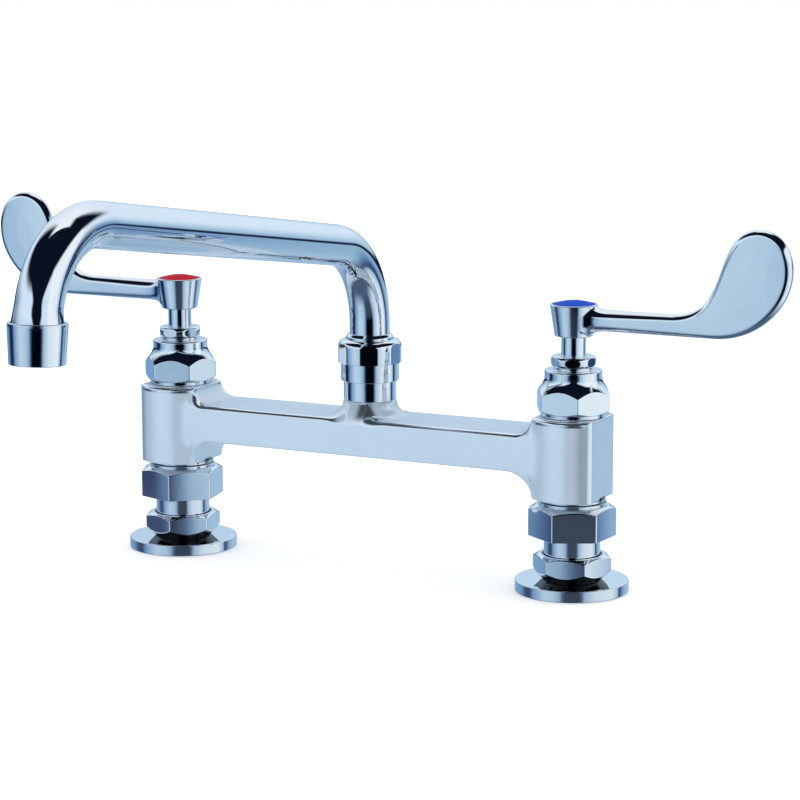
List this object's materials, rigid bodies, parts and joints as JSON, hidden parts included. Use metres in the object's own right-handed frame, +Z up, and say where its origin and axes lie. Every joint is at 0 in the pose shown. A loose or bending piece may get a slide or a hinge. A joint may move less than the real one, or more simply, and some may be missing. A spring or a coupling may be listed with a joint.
{
  "type": "deck-mount faucet",
  "caption": "Two-handle bridge faucet for a sink deck: rigid body on two inlet columns, swinging tubular spout and quarter-turn blade levers.",
  "frame": {"origin": "on the deck, midway between the two inlets, under the spout's swivel axis", "axes": "+Z up, +X from the hot column to the cold one, -Y to the front, where the spout points at rest"},
  "size_m": [0.4048, 0.3056, 0.1927],
  "materials": {
    "chrome": "mirror-bright plating",
    "spindle": "turned",
    "seal": "matt",
    "packing": "moulded",
    "disc": "lapped",
    "hot_index": "gloss",
    "cold_index": "gloss"
  },
  "bodies": {
    "faucet_body": {"hot_deck_flange": "chrome", "hot_inlet_shank": "chrome", "hot_lock_nut": "chrome", "hot_coupling_washer": "seal", "hot_coupling_nut": "chrome", "hot_tail_ring": "chrome", "hot_bonnet_ring": "chrome", "hot_bonnet": "chrome", "hot_seat_seal": "seal", "hot_fixed_disc": "disc", "hot_packing": "packing", "hot_packing_nut": "chrome", "cold_deck_flange": "chrome", "cold_inlet_shank": "chrome", "cold_lock_nut": "chrome", "cold_coupling_washer": "seal", "cold_coupling_nut": "chrome", "cold_tail_ring": "chrome", "cold_bonnet_ring": "chrome", "cold_bonnet": "chrome", "cold_seat_seal": "seal", "cold_fixed_disc": "disc", "cold_packing": "packing", "cold_packing_nut": "chrome", "bridge_body": "chrome", "adapter_washer": "seal", "swivel_adapter": "chrome", "swivel_nut": "chrome"},
    "spout": {"spout_bush": "chrome", "spout_seals": "seal", "spout_tube": "chrome", "outlet_collar": "chrome", "stream_straightener": "packing"},
    "hot_valve": {"hot_turning_disc": "disc", "hot_spindle": "chrome", "hot_spindle_seals": "seal", "hot_handle": "chrome", "hot_handle_screw": "spindle", "hot_index_button": "hot_index"},
    "cold_valve": {"cold_turning_disc": "disc", "cold_spindle": "chrome", "cold_spindle_seals": "seal", "cold_handle": "chrome", "cold_handle_screw": "spindle", "cold_index_button": "cold_index"}
  },
  "joints": [
    {"name": "spout_swing", "type": "hinge", "parent": "faucet_body", "child": "spout", "pos_m": [0, 0, 0.1], "axis": [0, 0, 1], "range_deg": [-80, 80]},
    {"name": "hot_handle_turn", "type": "hinge", "parent": "faucet_body", "child": "hot_valve", "pos_m": [-0.1016, 0, 0.1], "axis": [0, 0, -1], "range_deg": [0, 90]},
    {"name": "cold_handle_turn", "type": "hinge", "parent": "faucet_body", "child": "cold_valve", "pos_m": [0.1016, 0, 0.1], "axis": [0, 0, 1], "range_deg": [0, 90]}
  ]
}
